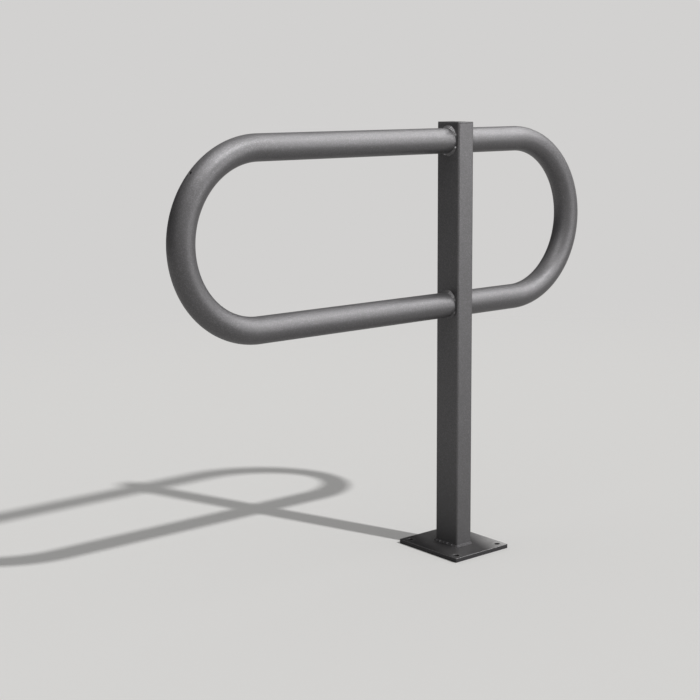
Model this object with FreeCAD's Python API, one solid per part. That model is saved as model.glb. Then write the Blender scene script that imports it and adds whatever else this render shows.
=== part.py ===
import FreeCAD, Part
import math
import os

from FreeCAD import Vector

# Hoop bike rack: one rectangular steel post on a bolted base plate, with a U-shaped
# tube hoop welded to each wide face of it, a long one to -X and a short one to +X.
# Millimetres, +Z up. The origin is on the ground, on the post's axis, in the middle
# of the base plate's underside. The hoops lie in the XZ plane.

# Base plate, lying on the ground
plate_length = 140.0
plate_width = 160.0
plate_thickness = 8.0
plate_corner_radius = 1.5
plate_edge_break = 0.8
bolt_hole_diameter = 11.0
bolt_hole_edge_distance = 15.0
bolt_hole_edge_break = 1.0
drain_hole_diameter = 16.0

# Post, a rectangular hollow section whose wide faces look along X
post_depth = 40.0
post_width = 60.0
post_wall = 3.0
post_corner_radius = 4.5
post_bore_corner_radius = 1.5

# Cap plate that closes the post; its top is the top of the rack
rack_height = 830.0
cap_thickness = 4.0
cap_edge_break = 0.6
cap_groove = 1.2

# Hoops, bent from round tube, their ends sawn square and butted on the post
tube_diameter = 48.3
tube_wall = 2.6
hoop_height = 363.0
hoop_top_below_rack_top = 11.5
long_hoop_reach = 650.0
short_hoop_reach = 340.0

# Vent hole in the outside of each bend, so that the closed tube can be dipped and coated
vent_diameter = 6.0
vent_angle_above_level = 41.0

# Fillet welds: length of the legs, and how far the crest stands above flat. At the sides
# of a tube the post's flat face soon ends, so the leg on the post is short there.
arm_weld_leg = 5.0
arm_weld_side_leg = 1.3
foot_weld_leg = 4.0
weld_crown = 0.7

UP = Vector(0, 0, 1)
ACROSS = Vector(0, 1, 0)
HALF_TURN = 180.0
QUARTER_TURN = 90.0

# Places that follow from the sizes above
post_top = rack_height - cap_thickness
tube_radius = tube_diameter / 2
upper_arm_height = rack_height - hoop_top_below_rack_top - tube_radius
arm_spacing = hoop_height - tube_diameter
lower_arm_height = upper_arm_height - arm_spacing
bend_radius = arm_spacing / 2
post_face = post_depth / 2


def is_upright(edge):
    """True for a straight edge that runs along Z."""
    box = edge.BoundBox
    return box.ZLength > box.XLength + box.YLength


def edges_at_height(shape, height):
    """Edges that lie wholly in the level plane at that height."""
    middle = [edge for edge in shape.Edges if not is_upright(edge)]
    return [edge for edge in middle if math.isclose(edge.CenterOfMass.z, height)]


def rounded_block(length, width, bottom, top, corner_radius):
    """Upright block about the Z axis with its four standing edges rounded."""
    corner = Vector(-length / 2, -width / 2, bottom)
    block = Part.makeBox(length, width, top - bottom, corner)
    standing = [edge for edge in block.Edges if is_upright(edge)]
    return block.makeFillet(corner_radius, standing)


def post_envelope(bottom, top):
    """The outside of the post between two heights, as if it were solid bar."""
    return rounded_block(post_depth, post_width, bottom, top, post_corner_radius)


def post_bore():
    """The space inside the post."""
    length = post_depth - 2 * post_wall
    width = post_width - 2 * post_wall
    return rounded_block(length, width, plate_thickness, post_top, post_bore_corner_radius)


def upright_hole(diameter, x, y):
    """Tool for a plain hole down through the base plate."""
    return Part.makeCylinder(diameter / 2, plate_thickness, Vector(x, y, 0), UP)


def hole_edge_break(x, y):
    """Tool for the small bevel at the top of a bolt hole."""
    hole_radius = bolt_hole_diameter / 2
    start = Vector(x, y, plate_thickness - bolt_hole_edge_break)
    return Part.makeCone(hole_radius, hole_radius + bolt_hole_edge_break, bolt_hole_edge_break, start, UP)


def bolt_hole_places():
    """The four anchor holes, one near each corner of the plate."""
    x = plate_length / 2 - bolt_hole_edge_distance
    y = plate_width / 2 - bolt_hole_edge_distance
    return [(side_x * x, side_y * y) for side_x in (-1, 1) for side_y in (-1, 1)]


def make_base_plate():
    """Steel plate with four anchor holes and a drain hole under the post."""
    plate = rounded_block(plate_length, plate_width, 0, plate_thickness, plate_corner_radius)
    plate = plate.makeChamfer(plate_edge_break, edges_at_height(plate, plate_thickness))
    for x, y in bolt_hole_places():
        plate = plate.cut(upright_hole(bolt_hole_diameter, x, y))
        plate = plate.cut(hole_edge_break(x, y))
    return plate.cut(upright_hole(drain_hole_diameter, 0, 0))


def make_post():
    """Hollow post, its top outer edge bevelled as one half of the cap's weld groove."""
    outside = post_envelope(plate_thickness, post_top)
    outside = outside.makeChamfer(cap_groove, edges_at_height(outside, post_top))
    return outside.cut(post_bore())


def make_cap():
    """Flat cap with the post's outline, bevelled below for the weld and eased above."""
    cap = post_envelope(post_top, rack_height)
    cap = cap.makeChamfer(cap_groove, edges_at_height(cap, post_top))
    return cap.makeChamfer(cap_edge_break, edges_at_height(cap, rack_height))


def make_cap_weld(post, cap):
    """Weld that fills the groove between post and cap, ground flush with the faces."""
    band = post_envelope(post_top - cap_groove, post_top + cap_groove)
    return band.cut(post_bore()).cut(post).cut(cap)


def foot_weld_section(corner, outward):
    """Section of the foot's bead: a leg up the post, a leg out on the plate, and a crest."""
    top = corner + UP * foot_weld_leg
    toe = corner + outward * foot_weld_leg
    crest = (top + toe) / 2 + (UP + outward).normalize() * weld_crown
    return Part.Face(Part.makePolygon([corner, top, crest, toe, corner]))


def make_foot_weld():
    """Bead all round the post's foot: four straight runs and four turned corners."""
    straight_x = post_depth - 2 * post_corner_radius
    straight_y = post_width - 2 * post_corner_radius
    faces = [(Vector(side, 0, 0), post_depth / 2, straight_y) for side in (-1, 1)]
    faces += [(Vector(0, side, 0), post_width / 2, straight_x) for side in (-1, 1)]
    beads = []
    for outward, distance, length in faces:
        along = UP.cross(outward)
        start = outward * distance - along * (length / 2) + UP * plate_thickness
        section = foot_weld_section(start, outward)
        beads.append(section.extrude(along * length))
        section.translate(along * length)
        corner_centre = outward * (distance - post_corner_radius) + along * (length / 2)
        beads.append(section.revolve(corner_centre, UP, QUARTER_TURN))
    return beads[0].fuse(beads[1:]).removeSplitter()


def bead_oval(side, arm_height, distance, leg_share, crown):
    """Oval round a tube's axis, that far out from the post's face: the tube's radius
    with a share of the bead's legs, and of the crown in step with them, added to it."""
    centre = Vector(side * (post_face + distance), 0, arm_height)
    high = tube_radius + arm_weld_leg * leg_share + crown
    wide = tube_radius + arm_weld_side_leg * leg_share + crown * arm_weld_side_leg / arm_weld_leg
    oval = Part.Ellipse(centre, high, wide).toShape()
    oval.rotate(centre, ACROSS, -QUARTER_TURN)
    return Part.Wire(oval)


def make_arm_weld(side, arm_height):
    """Bead round one tube end: ovals from inside the post's face to a toe on the tube."""
    crest = weld_crown * math.sin(math.radians(HALF_TURN / 4))
    ovals = [
        bead_oval(side, arm_height, -post_corner_radius, 1, 0),
        bead_oval(side, arm_height, 0, 1, 0),
        bead_oval(side, arm_height, arm_weld_leg / 2 + crest, 1 / 2, crest),
        bead_oval(side, arm_height, arm_weld_leg, 0, 0),
    ]
    bead = Part.makeLoft(ovals, True, True)
    tube = Part.makeCylinder(tube_radius, post_depth, Vector(0, 0, arm_height), Vector(side, 0, 0))
    return bead.cut(tube).cut(post_envelope(plate_thickness, post_top))


def bend_centre(side, reach):
    """Point that the hoop's bend turns about."""
    return Vector(side * (reach - tube_radius - bend_radius), 0, lower_arm_height + bend_radius)


def vent_tool(side, reach):
    """Tool for the vent hole, drilled square to the tube on the outside of the bend."""
    angle = math.radians(vent_angle_above_level)
    outward = Vector(side * math.cos(angle), 0, math.sin(angle))
    start = bend_centre(side, reach) + outward * bend_radius
    return Part.makeCylinder(vent_diameter / 2, tube_diameter, start, outward)


def bent_bar(side, reach, radius):
    """Round bar along the hoop's centreline: an arm, a half-circle bend, an arm."""
    bend_x = side * (reach - tube_radius - bend_radius)
    upper_end = Vector(side * post_face, 0, upper_arm_height)
    straight = Vector(bend_x - side * post_face, 0, 0)
    section = Part.Face(Part.Wire(Part.makeCircle(radius, upper_end, straight)))
    upper_arm = section.extrude(straight)
    section.translate(straight)
    bend = section.revolve(bend_centre(side, reach), ACROSS * side, HALF_TURN)
    lower_arm = upper_arm.translated(Vector(0, 0, -arm_spacing))
    return upper_arm.fuse([bend, lower_arm])


def make_hoop(side, reach):
    """Hoop to one side of the post: bent tube with its vent hole."""
    tube = bent_bar(side, reach, tube_radius).cut(bent_bar(side, reach, tube_radius - tube_wall))
    return tube.cut(vent_tool(side, reach)).removeSplitter()


os.makedirs("parts", exist_ok=True)

post = make_post()
cap = make_cap()
pieces = {
    "base_plate": make_base_plate(),
    "post": post,
    "post_cap": cap,
    "cap_weld": make_cap_weld(post, cap),
    "foot_weld": make_foot_weld(),
    "long_hoop": make_hoop(-1, long_hoop_reach),
    "short_hoop": make_hoop(1, short_hoop_reach),
    "long_hoop_upper_weld": make_arm_weld(-1, upper_arm_height),
    "long_hoop_lower_weld": make_arm_weld(-1, lower_arm_height),
    "short_hoop_upper_weld": make_arm_weld(1, upper_arm_height),
    "short_hoop_lower_weld": make_arm_weld(1, lower_arm_height),
}
for name, shape in pieces.items():
    shape.exportStep("parts/" + name + ".step")
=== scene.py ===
import math

import bmesh
import bpy
import numpy as np
from mathutils import Matrix, Vector
from mathutils.geometry import tessellate_polygon


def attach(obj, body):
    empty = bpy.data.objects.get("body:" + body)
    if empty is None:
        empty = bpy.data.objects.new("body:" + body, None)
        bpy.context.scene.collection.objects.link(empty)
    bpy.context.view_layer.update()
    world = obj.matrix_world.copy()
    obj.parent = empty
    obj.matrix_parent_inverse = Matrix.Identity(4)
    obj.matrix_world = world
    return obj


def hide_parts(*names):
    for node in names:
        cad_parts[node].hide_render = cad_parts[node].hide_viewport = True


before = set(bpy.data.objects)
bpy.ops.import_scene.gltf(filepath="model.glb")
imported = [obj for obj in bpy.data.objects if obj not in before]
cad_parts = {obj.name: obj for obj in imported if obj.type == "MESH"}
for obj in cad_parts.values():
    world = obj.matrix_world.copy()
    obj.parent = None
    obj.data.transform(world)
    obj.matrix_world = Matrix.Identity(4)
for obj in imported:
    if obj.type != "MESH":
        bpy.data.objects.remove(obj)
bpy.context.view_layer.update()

# Hoop bike rack for one or two bicycles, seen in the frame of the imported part: +X along
# the short hoop, +Z up, the origin on the ground under the post. The rack's own sizes are
# in millimetres and become metres where a mesh or a material is made. The studio's and the
# camera's are in metres.


# Base plate
# Hot rolled steel flat, cut square with its top edges eased, four anchor holes drilled
# and lightly countersunk, and a drain hole under the post. Coated with the whole rack.

plate_length, plate_width, plate_thickness = 140.0, 160.0, 8.0
plate_corner_radius = 1.5
plate_edge_round, plate_edge_points, plate_bottom_edge = 0.8, 6, 0.4
anchor_hole_radius, anchor_hole_ease = 5.5, 0.8
anchor_hole_x, anchor_hole_y = 55.0, 65.0
drain_hole_radius, drain_hole_ease = 8.0, 0.4


def linear(colour):
    """A colour written as #RRGGBB in sRGB, as linear light: c / 12.92 for the darkest
    tones, and otherwise ((c + 0.055) / 1.055) to the power 2.4."""
    tones = [int(colour[i:i + 2], 16) / 255 for i in (1, 3, 5)]
    light = [c / 12.92 if c <= 0.04045 else ((c + 0.055) / 1.055) ** 2.4 for c in tones]
    return (*light, 1.0)


def add_node(tree, kind, inputs=None, **settings):
    """Adds a node with its settings, and gives each named input a number or a link."""
    node = tree.nodes.new(kind)
    for name, value in settings.items():
        setattr(node, name, value)
    for name, value in (inputs or {}).items():
        if isinstance(value, bpy.types.NodeSocket):
            tree.links.new(value, node.inputs[name])
        else:
            node.inputs[name].default_value = value
    return node


def outline(length, width, radius, steps=8):
    """Rounded rectangle from above, anticlockwise from the +X+Y corner. Each point is
    its corner's centre plus radius times (cos t, sin t), and t runs a quarter turn on
    each corner in turn. Gives x, y and t."""
    corner = np.repeat(np.arange(4), steps + 1)
    t = corner * math.pi / 2 + np.tile(np.linspace(0, math.pi / 2, steps + 1), 4)
    side_x = np.array([1, -1, -1, 1])[corner]
    side_y = np.array([1, 1, -1, -1])[corner]
    x = side_x * (length / 2 - radius) + radius * np.cos(t)
    y = side_y * (width / 2 - radius) + radius * np.sin(t)
    return x, y, t


def banded_wall(length, width, radius, profile, least_radius=0.05):
    """A profile of (inset, height) pairs carried round a rounded rectangle. Row k is
    the outline moved inwards by inset k, at height k."""
    rows = []
    for inset, height in profile:
        x, y, _ = outline(length - 2 * inset, width - 2 * inset, max(radius - inset, least_radius))
        rows.append(np.stack([x, y, np.full_like(x, height)], -1))
    return np.array(rows)


def turned_wall(centre_x, centre_y, profile, inwards, steps=40):
    """A profile of (radius, height) pairs turned about an upright axis. The angle runs
    backwards for a hole, so that its wall faces the axis."""
    t = np.linspace(0, 2 * math.pi, steps, endpoint=False) * (-1 if inwards else 1)
    radius, height = np.array(profile).T[:, :, None]
    x = centre_x + radius * np.cos(t)
    y = centre_y + radius * np.sin(t)
    return np.stack([x, y, height + 0 * t], -1)


def quads(points, wrap_rows=False, wrap_columns=True):
    """Faces of a grid of points. Face (i, j) has the corners (i, j), (i + 1, j),
    (i + 1, j + 1) and (i, j + 1), counted round where a direction wraps."""
    rows, columns = points.shape[:2]
    i = np.arange(rows if wrap_rows else rows - 1)[:, None]
    j = np.arange(columns if wrap_columns else columns - 1)[None, :]
    next_i, next_j = (i + 1) % rows * columns, (j + 1) % columns
    corners = [i * columns + j, next_i + j, next_i + next_j, i * columns + next_j]
    return np.stack(np.broadcast_arrays(*corners), -1).reshape(-1, 4)


def flat_face(loops, up):
    """Level face inside the first loop of points and outside the others, cut into
    triangles. Each is turned so that the sign of its area seen from above is that of up."""
    points = np.concatenate(loops)
    triangles = np.array(tessellate_polygon([loop.tolist() for loop in loops]))
    a, b, c = (points[triangles[:, k], :2] for k in range(3))
    area = (b - a)[:, 0] * (c - a)[:, 1] - (b - a)[:, 1] * (c - a)[:, 0]
    wrong = area * up < 0
    triangles[wrong] = triangles[wrong][:, ::-1]
    return points, triangles


join_distance = 2e-6


def make_piece(name, parts, material, crease=50, painted_light_shares=None):
    """One object from (points, faces) parts in millimetres. Points that are nearer to each
    other than the join distance, which is in metres, become one.
    Shading is smooth except over edges sharper than the crease angle in degrees, and a
    large face outweighs the narrow faces of a rounded edge beside it. Painted light shares
    give each point of the mesh a share from 0 to 1 for each kind of painted glint or shade
    that they name."""
    points, faces, start = [], [], 0
    for part_points, part_faces in parts:
        part_points = np.asarray(part_points).reshape(-1, 3)
        points.append(part_points / 1000)
        faces += (np.asarray(part_faces) + start).tolist()
        start += len(part_points)
    mesh = bpy.data.meshes.new(name)
    mesh.from_pydata(np.concatenate(points).tolist(), [], faces)
    for kind, share in (painted_light_shares or {}).items():
        mesh.attributes.new(kind, "FLOAT", "POINT").data.foreach_set("value", np.ravel(share))
    joined = bmesh.new()
    joined.from_mesh(mesh)
    bmesh.ops.remove_doubles(joined, verts=joined.verts, dist=join_distance)
    joined.to_mesh(mesh)
    joined.free()
    mesh.polygons.foreach_set("use_smooth", np.ones(len(mesh.polygons), dtype=bool))
    mesh.set_sharp_from_angle(angle=math.radians(crease))
    piece = bpy.data.objects.new(name, mesh)
    bpy.context.scene.collection.objects.link(piece)
    piece.modifiers.new("even_shading", "WEIGHTED_NORMAL").keep_sharp = True
    mesh.materials.append(material)
    return piece


# Anthracite powder coat with mica, sprayed and stoved on blasted, primed steel.
# A textured polymer film: it scatters a broad, soft highlight, the mica flakes in it
# glint and take a little of the metal's brightness, and it flows into a faint orange peel.
peel_width, peel_height, coat_roughness, roughness_spread = 2.4, 0.010, 0.5, 0.06
# Real flakes are under 0.1 mm wide. They are drawn 1.1 mm wide so that they show at all.
flake_width, flakeless_share = 1.1, 0.55
binder_metallic, flake_metallic = 0.78, 0.95
cloud_width, cloud_most = 70.0, 0.35
# Nearly all the values of a noise lie between these two.
noise_low, noise_high = 0.3, 0.7


def powder_coat(name, peel, roughness, tones=("#555455", "#5C5B5C", "#6A696B")):
    """The coat's material. Flakes are Voronoi cells whose random number is high; cloud
    and peel are noise, each with a scale of one over its width in metres. The tones are
    those of the dark and light clouds of the binder, and of the flakes."""
    dark_cloud, light_cloud, mica = (linear(tone) for tone in tones)
    material = bpy.data.materials.new(name)
    material.use_nodes = True
    tree = material.node_tree
    tree.nodes.clear()
    place = add_node(tree, "ShaderNodeTexCoord").outputs["Object"]
    cell = add_node(tree, "ShaderNodeTexVoronoi", {"Vector": place, "Scale": 1000 / flake_width})
    random = add_node(tree, "ShaderNodeSeparateColor", {"Color": cell.outputs["Color"]})
    flake = add_node(
        tree, "ShaderNodeMapRange",
        {"Value": random.outputs["Red"], "From Min": flakeless_share, "From Max": 1.0},
    )
    cloud = add_node(
        tree, "ShaderNodeTexNoise", {"Vector": place, "Scale": 1000 / cloud_width, "Detail": 4.0}
    )
    tone = add_node(
        tree, "ShaderNodeMapRange",
        {
            "Value": cloud.outputs["Fac"], "From Min": noise_low, "From Max": noise_high,
            "To Min": 0.0, "To Max": cloud_most,
        },
    )
    binder = add_node(
        tree, "ShaderNodeMix",
        {"Factor": tone.outputs["Result"], "A": dark_cloud, "B": light_cloud},
        data_type="RGBA",
    )
    colour = add_node(
        tree, "ShaderNodeMix",
        {"Factor": flake.outputs["Result"], "A": binder.outputs["Result"], "B": mica},
        data_type="RGBA",
    )
    metal = add_node(
        tree, "ShaderNodeMapRange",
        {"Value": flake.outputs["Result"], "To Min": binder_metallic, "To Max": flake_metallic},
    )
    gloss = add_node(
        tree, "ShaderNodeMapRange",
        {
            "Value": cloud.outputs["Fac"],
            "To Min": roughness - roughness_spread, "To Max": roughness + roughness_spread,
        },
    )
    skin = add_node(
        tree, "ShaderNodeTexNoise", {"Vector": place, "Scale": 1000 / peel_width, "Detail": 2.0}
    )
    relief = add_node(
        tree, "ShaderNodeBump",
        {"Strength": 1.0, "Distance": peel / 1000, "Height": skin.outputs["Fac"]},
    )
    surface = add_node(
        tree, "ShaderNodeBsdfPrincipled",
        {
            "Base Color": colour.outputs["Result"],
            "Metallic": metal.outputs["Result"],
            "Roughness": gloss.outputs["Result"],
            "Normal": relief.outputs["Normal"],
        },
    )
    add_node(tree, "ShaderNodeOutputMaterial", {"Surface": surface.outputs["BSDF"]})
    return material


def lay_over(tree, share, colour, roughness, metallic=0.0):
    """Mixes painted light or shade into a coat as another finish, by a share between 0 and 1."""
    surface = tree.nodes["Principled BSDF"]
    painted_light_film = {"Base Color": linear(colour), "Metallic": metallic, "Roughness": roughness}
    for name, value in painted_light_film.items():
        bare = surface.inputs[name].links[0].from_socket
        kind = "RGBA" if name == "Base Color" else "FLOAT"
        mixed = add_node(tree, "ShaderNodeMix", data_type=kind)
        tree.links.new(share, mixed.inputs["Factor"])
        tree.links.new(bare, mixed.inputs["A"])
        mixed.inputs["B"].default_value = value
        tree.links.new(mixed.outputs["Result"], surface.inputs[name])


def painted_light_ramp(tree, way, start, full, most):
    """Share of painted light or shade that grows evenly along a way over the piece. Distance
    is the place's dot product with the way. The share goes from nothing at the distance
    start to the most at the distance full, both in millimetres."""
    place = add_node(tree, "ShaderNodeTexCoord").outputs["Object"]
    along = add_node(tree, "ShaderNodeVectorMath", {0: place, 1: way}, operation="DOT_PRODUCT")
    share = add_node(
        tree, "ShaderNodeMapRange",
        {
            "Value": along.outputs["Value"], "From Min": start / 1000, "From Max": full / 1000,
            "To Min": 0.0, "To Max": most,
        },
    )
    return share.outputs["Result"]


coated_steel = powder_coat("powder_coated_steel", peel_height, coat_roughness)

t = np.linspace(math.pi / 2, 0, plate_edge_points)
rim_profile = [
    (plate_edge_round * (1 - math.cos(a)), plate_thickness - plate_edge_round * (1 - math.sin(a)))
    for a in t
]
rim_profile += [(0, plate_bottom_edge), (plate_bottom_edge, 0)]
rim = banded_wall(plate_length, plate_width, plate_corner_radius, rim_profile)
plate_parts = [(rim, quads(rim))]
holes = [(x, y, anchor_hole_radius, anchor_hole_ease)
         for x in (-anchor_hole_x, anchor_hole_x) for y in (-anchor_hole_y, anchor_hole_y)]
holes.append((0, 0, drain_hole_radius, drain_hole_ease))
hole_walls = []
for x, y, radius, eased in holes:
    profile = [(radius + eased, plate_thickness), (radius, plate_thickness - eased), (radius, 0)]
    wall = turned_wall(x, y, profile, inwards=True)
    hole_walls.append(wall)
    plate_parts.append((wall, quads(wall)))
plate_parts.append(flat_face([rim[0]] + [wall[0] for wall in hole_walls], up=1))
plate_parts.append(flat_face([rim[-1]] + [wall[-1] for wall in hole_walls], up=-1))

# The plate's coat is drawn darker than the rest of the rack's, a painted shade. It is
# darker still towards the corner under the long hoop, a painted shadow, and paler in
# patches away from there, a painted reflection. A little of that painted reflection lies
# in a ring round each anchor hole, as wide as a fixing's washer, as a painted highlight.
corner_shadow_colour, corner_shadow_roughness, corner_shadow_metallic, corner_shadow_most = "#2A292A", 0.4, 0.85, 0.9
corner_shadow_way, corner_shadow_from, corner_shadow_full = (-1.0, 0.35, 0.0), 43.0, 70.0
painted_reflection_colour, painted_reflection_roughness, painted_reflection_most, reflection_patch, reflection_thinnest = "#A3A2A1", 0.9, 0.75, 30.0, 0.75
reflection_way, reflection_from, reflection_full = (1.0, -0.35, 0.0), 36.0, 101.0
hole_highlight_share, hole_highlight_radius, hole_highlight_fade = 0.04, 9.0, 3.0

plate_shade_tones = ("#454444", "#4D4C4C", "#5B5A5B")
shaded_plate_coat = powder_coat("powder_coated_plate", peel_height, coat_roughness, plate_shade_tones)
tree = shaded_plate_coat.node_tree
# Painted shadow towards the corner under the long hoop
corner_shadow = painted_light_ramp(tree, corner_shadow_way, corner_shadow_from, corner_shadow_full, corner_shadow_most)
lay_over(tree, corner_shadow, corner_shadow_colour, corner_shadow_roughness, corner_shadow_metallic)
# Painted reflection in patches, and a painted highlight in a ring round each anchor hole
place = add_node(tree, "ShaderNodeTexCoord").outputs["Object"]
reflection_patches = add_node(tree, "ShaderNodeTexNoise", {"Vector": place, "Scale": 1000 / reflection_patch, "Detail": 5.0})
reflection_patchiness = add_node(
    tree, "ShaderNodeMapRange",
    {
        "Value": reflection_patches.outputs["Fac"], "From Min": noise_low, "From Max": noise_high,
        "To Min": reflection_thinnest, "To Max": 1.0,
    },
)
painted_reflection = painted_light_ramp(tree, reflection_way, reflection_from, reflection_full, painted_reflection_most)
any_corner = add_node(tree, "ShaderNodeVectorMath", {0: place}, operation="ABSOLUTE")
hole_place = (anchor_hole_x / 1000, anchor_hole_y / 1000, plate_thickness / 1000)
from_hole = add_node(
    tree, "ShaderNodeVectorMath", {0: any_corner.outputs["Vector"], 1: hole_place}, operation="DISTANCE"
)
hole_highlight = add_node(
    tree, "ShaderNodeMapRange",
    {
        "Value": from_hole.outputs["Value"], "From Min": hole_highlight_radius / 1000,
        "From Max": (hole_highlight_radius + hole_highlight_fade) / 1000, "To Min": hole_highlight_share, "To Max": 0.0,
    },
)
painted_light_film = add_node(
    tree, "ShaderNodeMath", {0: painted_reflection, 1: reflection_patchiness.outputs["Result"], 2: hole_highlight.outputs["Result"]},
    operation="MULTIPLY_ADD",
)
lay_over(tree, painted_light_film.outputs["Value"], painted_reflection_colour, painted_reflection_roughness)

# The plate's sides are sheared and the walls of its holes drilled. The coat is thin and
# matt there, and these faces are drawn darker than the rolled faces.
sheared_tones = ("#363536", "#3C3B3D", "#454446")
matt_peel, matt_roughness = 0.03, 0.65
sheared_edge = powder_coat("powder_coated_sheared_edge", matt_peel, matt_roughness, sheared_tones)
# The eased edge round its top is drawn as a paler line, a painted highlight.
edge_highlight_tones = ("#5B5A5B", "#616061", "#6C6B6C")
edge_highlight = powder_coat("powder_coated_rubbed_edge", peel_height, coat_roughness, edge_highlight_tones)
# A face is steep where its normal points up or down by less than the first of these, and
# level where it does by more than the second.
steep, level = 0.3, 0.97

base_plate = make_piece("base_plate_coated", plate_parts, shaded_plate_coat)
base_plate.data.materials.append(sheared_edge)
base_plate.data.materials.append(edge_highlight)
facing, middle = np.empty((2, 3 * len(base_plate.data.polygons)))
base_plate.data.polygons.foreach_get("normal", facing)
base_plate.data.polygons.foreach_get("center", middle)
upward = facing[2::3]
inset_x = plate_length / 2 - 1000 * np.abs(middle[0::3])
inset_y = plate_width / 2 - 1000 * np.abs(middle[1::3])
at_rim = np.minimum(inset_x, inset_y) < plate_edge_round
cut_face = (np.abs(upward) < steep) | (np.abs(upward) < level) & at_rim
rounded = at_rim & (upward < level) & (upward > steep)
edge_highlight_index = base_plate.data.materials.find(edge_highlight.name)
coat_index = np.where(rounded, edge_highlight_index, cut_face).astype(np.int32)
base_plate.data.polygons.foreach_set("material_index", coat_index)
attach(base_plate, "root")
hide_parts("base_plate")


# Post
# Cold formed rectangular hollow section, its wide faces to the two hoops. It stands on
# the plate, welded all round, and its top outer edge is bevelled for the cap's weld.

post_depth, post_width, post_wall = 40.0, 60.0, 3.0
post_corner_radius = 4.5
rack_height, cap_thickness, cap_groove = 830.0, 4.0, 1.2
post_top = rack_height - cap_thickness

post_profile = [
    (post_wall, plate_thickness), (0, plate_thickness), (0, post_top - cap_groove),
    (cap_groove, post_top), (post_wall, post_top),
]
post_skin = banded_wall(post_depth, post_width, post_corner_radius, post_profile[::-1])

# The face under the long hoop is drawn darker towards its foot, a painted shade.
face_shade_colour, face_shade_roughness, face_shade_height, face_shade_most = "#1C1B1C", 0.8, 220.0, 0.6

post_coat = powder_coat("powder_coated_post", peel_height, coat_roughness)
tree = post_coat.node_tree
low = painted_light_ramp(tree, (0.0, 0.0, -1.0), -face_shade_height, -plate_thickness, face_shade_most)
on_face = painted_light_ramp(tree, (-1.0, 0.0, 0.0), post_depth / 2 - post_corner_radius, post_depth / 2, 1.0)
painted_light_film = add_node(tree, "ShaderNodeMath", {0: low, 1: on_face}, operation="MULTIPLY")
lay_over(tree, painted_light_film.outputs["Value"], face_shade_colour, face_shade_roughness)
post = make_piece("post_coated", [(post_skin, quads(post_skin, wrap_rows=True))], post_coat)
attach(post, "root")
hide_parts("post")


# Post cap and its weld
# A flat steel lid cut to the post's outline, set on its end and welded round the edge.
# The weld is ground flush with the faces, and the lid's top edge is eased by hand.

cap_edge_round, cap_edge_points, seam_dip = 0.8, 5, 0.05

t = np.linspace(math.pi / 2, 0, cap_edge_points)
cap_profile = [
    (cap_edge_round * (1 - math.cos(a)), rack_height - cap_edge_round * (1 - math.sin(a))) for a in t
]
cap_profile += [(0, post_top + cap_groove), (cap_groove, post_top)]
cap_wall = banded_wall(post_depth, post_width, post_corner_radius, cap_profile)
cap_parts = [(cap_wall, quads(cap_wall)), flat_face([cap_wall[0]], up=1), flat_face([cap_wall[-1]], up=-1)]
cap = make_piece("post_cap_coated", cap_parts, coated_steel)
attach(cap, "root")
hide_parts("post_cap")

seam_profile = [
    (0, post_top + cap_groove), (seam_dip, post_top), (0, post_top - cap_groove), (cap_groove, post_top),
]
seam = banded_wall(post_depth, post_width, post_corner_radius, seam_profile)
cap_weld = make_piece("cap_weld_ground", [(seam, quads(seam, wrap_rows=True))], coated_steel)
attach(cap_weld, "root")
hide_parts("cap_weld")


# Foot weld
# Fillet bead laid by hand all round the post's foot, one leg up the post and one out on
# the plate. It froze in overlapping crescents, with a lump where each short run began.

# The crown is less than nothing, because this bead is slightly hollow.
foot_weld_leg, foot_weld_crown = 4.0, -0.2
foot_steps, across_steps = 480, 13
ripple_pitch, ripple_height, lump_spread = 3.8, 0.14, 1.6
# In radians: how far the crescents are bent, and how far ripples and lumps drift off an
# even pitch
crescent_bend, ripple_drift, lump_drift = 2.6, 0.9, 0.05
# The lumps' heights vary to each side of their mean by this share of the highest one's.
lump_variety = 0.25
# Shares by which the legs lengthen and shorten: in slow waves, in quick waves, and for each
# millimetre of a lump
slow_wander, quick_wander, lump_wander = 0.07, 0.05, 0.12
# Along the bead: where one lump is, how far apart they are, how high the highest is, and
# where that is. On the foot it faces the long hoop, where the painted glints are brightest.
foot_lumps = (56.0, 10.7, 1.1, 60.0)


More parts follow.
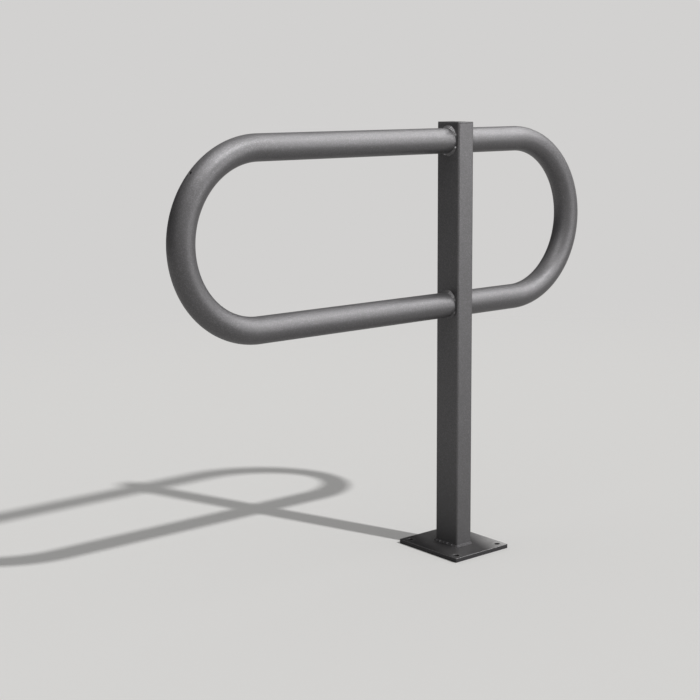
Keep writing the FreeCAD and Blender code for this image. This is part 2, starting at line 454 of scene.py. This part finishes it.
def bead(distance, length, across, crown, lumps):
    """How far a bead stands proud of the straight line between its toes, and how much
    longer than nominal its legs are. Across runs from 0 at one toe to 1 at the other.
    The crown is 4 a (1 - a); the ripple is a cosine of the distance, bent back by a
    parabola into crescents; a lump is e to the power of a cosine less one, scaled to its
    spread, and its place and height vary in slow sines; heavy, the fourth power of the
    cosine of half the angle from the heaviest place, makes lumps higher there; and the
    toes wander in slow sines. Each count of waves is rounded, so that the bead closes on
    itself. Gives as well the share of painted glint, a pale painted highlight on the crests:
    twice the height of a lump, times heavy, less one half. So only high lumps near the
    heaviest place get it."""
    turn = 2 * math.pi * distance / length
    arch = 4 * across * (1 - across)
    ripples = round(length / ripple_pitch)
    ripple = np.cos(ripples * turn + crescent_bend * arch + ripple_drift * np.sin(3 * turn))
    one_lump, lump_pitch, lump_height, heaviest = lumps
    lump_count = round(length / lump_pitch)
    narrowness = (lump_pitch / (2 * math.pi * lump_spread)) ** 2
    place = turn - 2 * math.pi * one_lump / length + lump_drift * np.sin(3 * turn + 1)
    lump = np.exp(narrowness * (np.cos(lump_count * place) - 1))
    lump = lump * (1 - lump_variety + lump_variety * np.sin(11 * turn + 0.7))
    heavy = np.cos(math.pi * (distance - heaviest) / length) ** 4
    raised = lump_height * lump * (0.5 + 0.5 * heavy)
    proud = arch * (crown + raised) + np.sqrt(arch) * ripple_height * ripple
    wander = slow_wander * np.sin(5 * turn + 1) + quick_wander * np.sin(11 * turn)
    wander = wander + lump_wander * raised
    # Painted glint on the crests of high lumps
    painted_glint = np.clip(2 * lump_height * lump * heavy * arch - 0.5, 0, 1)
    return proud, 1 + wander * np.ones_like(across), painted_glint


# Black painted shade for the crevice at a bead's narrow lip
crevice_shade_colour = "#1E1D1F"


def weld_coat(name, peel, roughness, tones, glint_colour):
    """Powder coat with painted light laid on by the piece's own attributes: a pale painted
    glint on crests that stand proud, and black painted shade in a crevice."""
    material = powder_coat(name, peel, roughness, tones)
    tree = material.node_tree
    for kind, colour, dullness in (("painted_glint", glint_colour, 0.6), ("crevice_shade", crevice_shade_colour, 0.9)):
        share = add_node(tree, "ShaderNodeAttribute", attribute_name=kind)
        lay_over(tree, share.outputs["Fac"], colour, dullness)
    return material


x, y, t = outline(post_depth, post_width, post_corner_radius, steps=16)
x, y, t = np.append(x, x[0]), np.append(y, y[0]), np.append(t, 2 * math.pi)
walked = np.concatenate([[0], np.cumsum(np.hypot(np.diff(x), np.diff(y)))])
foot_length = walked[-1]
distance = np.linspace(0, foot_length, foot_steps, endpoint=False)
foot_x, foot_y = np.interp(distance, walked, x), np.interp(distance, walked, y)
facing = np.interp(distance, walked, t)

across = np.linspace(0, 1, across_steps)[:, None]
proud, longer, painted_glint = bead(distance[None, :], foot_length, across, foot_weld_crown, foot_lumps)
out = foot_weld_leg * longer * across + proud / math.sqrt(2)
up = foot_weld_leg * longer * (1 - across) + proud / math.sqrt(2)
painted_glint = np.concatenate([painted_glint, np.zeros((1, foot_steps))])
out = np.concatenate([out, np.zeros((1, foot_steps))])
up = np.concatenate([np.maximum(up, 0), np.zeros((1, foot_steps))])
foot_bead = np.stack([
    foot_x + out * np.cos(facing), foot_y + out * np.sin(facing), plate_thickness + up,
], -1)
# The bead's coat is drawn dull and dark, a painted shade in this corner.
foot_shade_tones, foot_glint_colour = ("#3A393A", "#414041", "#4A494B"), "#585759"
shaded_foot_weld = weld_coat(
    "powder_coated_foot_weld", matt_peel, matt_roughness, foot_shade_tones, foot_glint_colour
)
foot_weld = make_piece(
    "foot_weld_bead", [(foot_bead, quads(foot_bead, wrap_rows=True))], shaded_foot_weld, painted_light_shares={"painted_glint": painted_glint},
)
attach(foot_weld, "root")
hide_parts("foot_weld")


# Long and short hoop
# Round steel tube bent to a half circle between two level arms, sawn square, and butted
# on the post. A vent hole is drilled square to the tube on the outside of each bend.

tube_radius, tube_wall = 24.15, 2.6
hoop_height, hoop_top_below_rack_top = 363.0, 11.5
long_hoop_reach, short_hoop_reach = 650.0, 340.0
vent_radius, vent_ease, vent_degrees = 3.0, 0.35, 41
# Steps along an arm are about this long, and the rings round a vent crowd towards it.
arm_step, vent_rings, vent_crowding = 18.0, 4, 0.8
post_face = post_depth / 2
upper_arm_height = rack_height - hoop_top_below_rack_top - tube_radius
bend_radius = hoop_height / 2 - tube_radius
bend_height = upper_arm_height - bend_radius


def tube_point(side, reach, station, angle, radius):
    """A point of a hoop's skin. Station is the arm's length from the post, in
    millimetres, up to the bend, then each degree round the bend, then back along the
    lower arm. Angle turns round the tube from its outer line. The point is the centre
    line's plus radius times (outward cos angle + across sin angle)."""
    arm = reach - tube_radius - bend_radius - post_face
    degree = np.clip(station - arm, 0, 180)
    turned = np.radians(90 - degree)
    along = np.minimum(station, arm) - np.maximum(station - arm - 180, 0)
    outward = bend_radius + radius * np.cos(angle)
    x = post_face + along + outward * np.cos(turned)
    z = bend_height + outward * np.sin(turned)
    y = radius * np.sin(angle)
    return np.stack(np.broadcast_arrays(side * x, side * y, z), -1)


def vent_edge(side, reach, around, hole, radius):
    """Where a round hole drilled along the vent's line meets a skin of that radius.
    With (c, s) on the hole's circle, the angle is asin(s / radius), and the turn round
    the bend's centre is asin(c / distance), distance being that of the skin there."""
    arm = reach - tube_radius - bend_radius - post_face
    angle = np.arcsin(hole * np.sin(around) / radius)
    turn = np.degrees(np.arcsin(hole * np.cos(around) / (bend_radius + radius * np.cos(angle))))
    return arm + 90 - vent_degrees + turn, angle


def make_hoop(name, side, reach):
    """Hoop of an outer and an inner skin, both cut open at the vent, the vent's wall
    between them and a sawn ring at each end. A square window of each skin is left out
    round the vent and closed with rings that pass from the square to the circle."""
    arm = reach - tube_radius - bend_radius - post_face
    arm_steps = round(arm / arm_step)
    station = np.concatenate([
        np.linspace(0, arm, arm_steps, endpoint=False), arm + np.arange(180),
        np.linspace(arm + 180, 2 * arm + 180, arm_steps + 1),
    ])
    turns = 96
    angle = np.arange(turns) * 2 * math.pi / turns
    row, half_rows, half_columns = arm_steps + 90 - vent_degrees, 3, 6
    row_ring = np.concatenate([
        np.full(2 * half_columns, -half_rows), np.arange(-half_rows, half_rows),
        np.full(2 * half_columns, half_rows), np.arange(half_rows, -half_rows, -1),
    ])
    column_ring = np.concatenate([
        np.arange(-half_columns, half_columns), np.full(2 * half_rows, half_columns),
        np.arange(half_columns, -half_columns, -1), np.full(2 * half_rows, -half_columns),
    ])
    around = np.arctan2(column_ring * tube_radius * 2 * math.pi / turns,
                        row_ring * math.radians(1) * (bend_radius + tube_radius))
    parts, circles = [], []
    for radius, flip in ((tube_radius, False), (tube_radius - tube_wall, True)):
        skin = tube_point(side, reach, station[:, None], angle[None, :], radius)
        faces = quads(skin)
        face_row, face_column = faces[:, 0] // turns, faces[:, 0] % turns
        near = (face_column + half_columns) % turns < 2 * half_columns
        inside = near & (face_row >= row - half_rows) & (face_row < row + half_rows)
        faces = faces[~inside]
        hole = vent_radius + (0 if flip else vent_ease)
        edge_station, edge_angle = vent_edge(side, reach, around, hole, radius)
        blend = np.linspace(0, 1, vent_rings)[:, None] ** vent_crowding
        ring_station = station[row + row_ring] * (1 - blend) + edge_station * blend
        ring_angle = column_ring * 2 * math.pi / turns * (1 - blend) + edge_angle * blend
        rings = tube_point(side, reach, ring_station, ring_angle, radius)
        ring_faces = quads(rings)
        if flip:
            faces, ring_faces = faces[:, ::-1], ring_faces[:, ::-1]
        parts += [(skin, faces), (rings, ring_faces)]
        circles.append(rings[-1])
    lip_station, lip_angle = vent_edge(side, reach, around, vent_radius, tube_radius - vent_ease)
    lip = tube_point(side, reach, lip_station, lip_angle, tube_radius - vent_ease)
    vent_wall = np.stack([circles[0], lip, circles[1]])
    parts.append((vent_wall, quads(vent_wall)))
    for end, flip in ((0, False), (-1, True)):
        radii = np.array([tube_radius - tube_wall, tube_radius])[:, None]
        sawn = tube_point(side, reach, np.full((1, 1), station[end]), angle[None, :], radii)
        faces = quads(sawn)
        parts.append((sawn, faces[:, ::-1] if flip else faces))
    return make_piece(name, parts, coated_steel)


long_hoop = make_hoop("long_hoop_coated", -1, long_hoop_reach)
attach(long_hoop, "root")
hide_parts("long_hoop")
short_hoop = make_hoop("short_hoop_coated", 1, short_hoop_reach)
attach(short_hoop, "root")
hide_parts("short_hoop")


# Arm welds
# A fillet bead round each tube end, laid in the same way as the foot's. The tube is
# nearly as wide as the post's flat face, so at its sides the bead shrinks to a narrow lip.

arm_weld_leg, arm_weld_side_leg, arm_weld_crown = 5.0, 1.3, 0.1
upper_lumps = (-14.0, 33.5, 1.5, -35.0)
lower_lumps = (-16.0, 33.5, 0.6, -14.0)
# The bead's fullness, as a share of its full leg, below which its lip is a crevice in painted shade
crevice_shade_from, crevice_shade_all = 0.39, 0.34
# The share of its full leg by which the bead stands out along the tube, however narrow it is
lip_stand = 0.35
bead_columns = 400

# The upper welds' coat is drawn paler than the tubes', a painted highlight.
lit_weld_tones, arm_glint_colour = ("#5C5B5C", "#646364", "#737274"), "#B0AFB1"
weld_peel = 0.02
lit_weld = weld_coat("powder_coated_weld", weld_peel, coat_roughness, lit_weld_tones, arm_glint_colour)
# The lower welds' coat is drawn darker, a painted shade.
lower_shade_tones, lower_glint_colour = ("#504F50", "#575657", "#646364"), "#8A898A"
shaded_weld = weld_coat(
    "powder_coated_lower_weld", weld_peel, coat_roughness, lower_shade_tones, lower_glint_colour
)


def make_arm_weld(name, side, height, lumps, coat):
    """Bead round one tube end. At the angle t round the tube, the section starts on the
    tube a leg away from the post, and ends on the post where an oval crosses that angle:
    its half axes are the tube's radius plus the short leg and plus the full leg. How full
    the bead is there, the leg on the post over the full leg, scales the leg on the tube."""
    t = np.linspace(0, 2 * math.pi, bead_columns, endpoint=False)[None, :]
    across = np.linspace(0, 1, across_steps)[:, None]
    length = 2 * math.pi * (tube_radius + arm_weld_leg / 2)
    wide, high = tube_radius + arm_weld_side_leg, tube_radius + arm_weld_leg
    toe = wide * high / np.hypot(high * np.cos(t), wide * np.sin(t)) - tube_radius
    fullness = toe / arm_weld_leg
    distance = t * length / (2 * math.pi)
    proud, longer, painted_glint = bead(distance, length, across, arm_weld_crown * fullness, lumps)
    reach = tube_radius + toe * longer * across + proud / math.sqrt(2)
    reach = np.concatenate([reach, np.full((1, bead_columns), tube_radius)])
    crevice_shade = np.clip((crevice_shade_from - fullness) / (crevice_shade_from - crevice_shade_all), 0, 1)
    painted_light_shares = {
        "painted_glint": np.concatenate([painted_glint * (1 - crevice_shade), np.zeros((1, bead_columns))]),
        "crevice_shade": np.broadcast_to(crevice_shade, reach.shape),
    }
    stand = (lip_stand + (1 - lip_stand) * fullness) * arm_weld_leg * longer * (1 - across)
    stand = stand + proud / math.sqrt(2)
    stand = np.concatenate([stand, np.zeros((1, bead_columns))])
    x = side * (post_face + stand)
    points = np.stack(np.broadcast_arrays(x, side * reach * np.cos(t), height + reach * np.sin(t)), -1)
    weld = make_piece(name + "_bead", [(points, quads(points, wrap_rows=True))], coat, painted_light_shares=painted_light_shares)
    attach(weld, "root")
    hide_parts(name)


for hoop_name, side in (("long_hoop", -1), ("short_hoop", 1)):
    make_arm_weld(hoop_name + "_upper_weld", side, upper_arm_height, upper_lumps, lit_weld)
    lower_arm_height = upper_arm_height - 2 * bend_radius
    make_arm_weld(hoop_name + "_lower_weld", side, lower_arm_height, lower_lumps, shaded_weld)


# Studio
# A plain pale floor that fades into a plain pale background, and a sun where the
# photograph's shadow puts it. Two soft boxes beside the sun, one high and one low, give
# the tubes their broad highlight, and two overhead light the upper arms more than the foot.

floor_radius, floor_steps, floor_drop = 9.0, 96, 0.0002
floor_fade_from, floor_fade_to = 1.5, 3.6
floor_colour, background_colour = "#E8E7E5", "#D2D1D0"
fill_strength = 0.37

floor_mesh = bpy.data.meshes.new("floor")
t = np.linspace(0, 2 * math.pi, floor_steps, endpoint=False)
disc = np.stack([floor_radius * np.cos(t), floor_radius * np.sin(t), 0 * t - floor_drop], -1)
floor_mesh.from_pydata(disc.tolist(), [], [list(range(floor_steps))])
floor = bpy.data.objects.new("floor", floor_mesh)
bpy.context.scene.collection.objects.link(floor)

paving = bpy.data.materials.new("pale_floor")
paving.use_nodes = True
tree = paving.node_tree
tree.nodes.clear()
place = add_node(tree, "ShaderNodeTexCoord").outputs["Object"]
from_centre = add_node(tree, "ShaderNodeVectorMath", {0: place}, operation="LENGTH")
fade = add_node(
    tree, "ShaderNodeMapRange",
    {"Value": from_centre.outputs["Value"], "From Min": floor_fade_from, "From Max": floor_fade_to},
    interpolation_type="SMOOTHSTEP",
)
matt = add_node(tree, "ShaderNodeBsdfDiffuse", {"Color": linear(floor_colour)})
clear = add_node(tree, "ShaderNodeBsdfTransparent")
blend = add_node(
    tree, "ShaderNodeMixShader",
    {0: fade.outputs["Result"], 1: matt.outputs["BSDF"], 2: clear.outputs["BSDF"]},
)
add_node(tree, "ShaderNodeOutputMaterial", {"Surface": blend.outputs["Shader"]})
floor_mesh.materials.append(paving)

world = bpy.data.worlds.new("studio")
bpy.context.scene.world = world
world.use_nodes = True
tree = world.node_tree
tree.nodes.clear()
ray = add_node(tree, "ShaderNodeLightPath")
seen = add_node(
    tree, "ShaderNodeMath",
    {0: ray.outputs["Is Camera Ray"], 1: ray.outputs["Is Glossy Ray"]}, operation="MAXIMUM",
)
seen = add_node(
    tree, "ShaderNodeMath",
    {0: seen.outputs["Value"], 1: ray.outputs["Is Transmission Ray"]}, operation="MAXIMUM",
)
backdrop = add_node(tree, "ShaderNodeBackground", {"Color": linear(background_colour), "Strength": 1.0})
fill = add_node(tree, "ShaderNodeBackground", {"Color": linear("#FFFFFF"), "Strength": fill_strength})
either = add_node(
    tree, "ShaderNodeMixShader",
    {0: seen.outputs["Value"], 1: fill.outputs["Background"], 2: backdrop.outputs["Background"]},
)
add_node(tree, "ShaderNodeOutputWorld", {"Surface": either.outputs["Shader"]})

# A dark card stands where the photograph's surroundings are dark: to the left of the
# rack and behind it. Only reflections see it. It gives the coat's gloss something to show.
card_radius, card_height, card_steps = 6.0, 4.0, 60
card_from, card_to = 15, 190
card_colour, card_roughness = "#2E2E30", 0.9
t = np.radians(np.linspace(card_from, card_to, card_steps))[None, :]
height = np.linspace(0, card_height, 2)[:, None]
card_points = np.stack(np.broadcast_arrays(card_radius * np.cos(t), card_radius * np.sin(t), height), -1)
card_mesh = bpy.data.meshes.new("dark_card")
card_faces = quads(card_points, wrap_columns=False)
card_mesh.from_pydata(card_points.reshape(-1, 3).tolist(), [], card_faces.tolist())
card = bpy.data.objects.new("dark_card", card_mesh)
bpy.context.scene.collection.objects.link(card)
card.visible_camera = card.visible_diffuse = card.visible_shadow = False
felt = bpy.data.materials.new("dark_card")
felt.use_nodes = True
felt_surface = felt.node_tree.nodes["Principled BSDF"]
felt_surface.inputs["Base Color"].default_value = linear(card_colour)
felt_surface.inputs["Roughness"].default_value = card_roughness
card_mesh.materials.append(felt)

# The soft boxes light the rack alone: the sun and the fill keep the floor even.
rack_middle = Vector((-0.1, 0, 0.5))
all_but_floor = bpy.data.collections.new("all_but_floor")
all_but_floor.objects.link(floor)
all_but_floor.collection_objects[0].light_linking.link_state = "EXCLUDE"


def soft_box(name, place, width, height, power):
    """Rectangular lamp that faces the rack's middle, and that the camera doesn't see.
    Its place and size are in metres and its power in watts."""
    lamp = bpy.data.lights.new(name, "AREA")
    lamp.shape = "RECTANGLE"
    lamp.size, lamp.size_y = width, height
    lamp.energy = power
    box = bpy.data.objects.new(name, lamp)
    box.location = place
    box.rotation_mode = "QUATERNION"
    box.rotation_quaternion = (Vector(place) - rack_middle).to_track_quat("Z", "Y")
    box.visible_camera = False
    box.light_linking.receiver_collection = all_but_floor
    bpy.context.scene.collection.objects.link(box)


soft_box("high_side_box", (2.70, -1.62, 2.85), 2.2, 2.0, 82)
soft_box("low_side_box", (1.86, -3.39, 1.33), 2.2, 2.0, 61)
soft_box("right_overhead_box", (1.4, 0.0, 2.4), 1.2, 1.2, 25)
soft_box("left_overhead_box", (-0.55, -0.35, 1.7), 1.0, 1.0, 12)

sun_direction = Vector((0.2175, -0.6698, 0.7100))
sun_light = bpy.data.lights.new("sun", "SUN")
sun_light.energy = 1.98
sun_light.angle = math.radians(2)
sun = bpy.data.objects.new("sun", sun_light)
sun.rotation_mode = "QUATERNION"
sun.rotation_quaternion = sun_direction.to_track_quat("Z", "Y")
bpy.context.scene.collection.objects.link(sun)


# Camera
# Stands on the long hoop's side of the rack, 0.9 m above the ground, and looks along the
# hoops at a slant. The small shift takes most of the tilt out of the post's edges.

camera_place = Vector((-1.9405, -2.0029, 0.8980))
camera_yaw, camera_pitch, camera_roll = 50.051, -6.233, -0.142
focal_pixels, picture_pixels = 1456.5, 700
sensor_width = 36.0

camera_data = bpy.data.cameras.new("camera")
camera_data.sensor_width = sensor_width
camera_data.lens = sensor_width * focal_pixels / picture_pixels
camera_data.shift_y = -0.15
camera_data.clip_end = 60
camera = bpy.data.objects.new("camera", camera_data)
yaw, pitch = math.radians(camera_yaw), math.radians(camera_pitch)
forward = Vector((math.cos(yaw) * math.cos(pitch), math.sin(yaw) * math.cos(pitch), math.sin(pitch)))
turn = forward.to_track_quat("-Z", "Y").to_matrix() @ Matrix.Rotation(math.radians(camera_roll), 3, "Z")
camera.matrix_world = Matrix.Translation(camera_place) @ turn.to_4x4()
bpy.context.scene.collection.objects.link(camera)
bpy.context.scene.camera = camera
bpy.context.scene.view_settings.view_transform = "Standard"
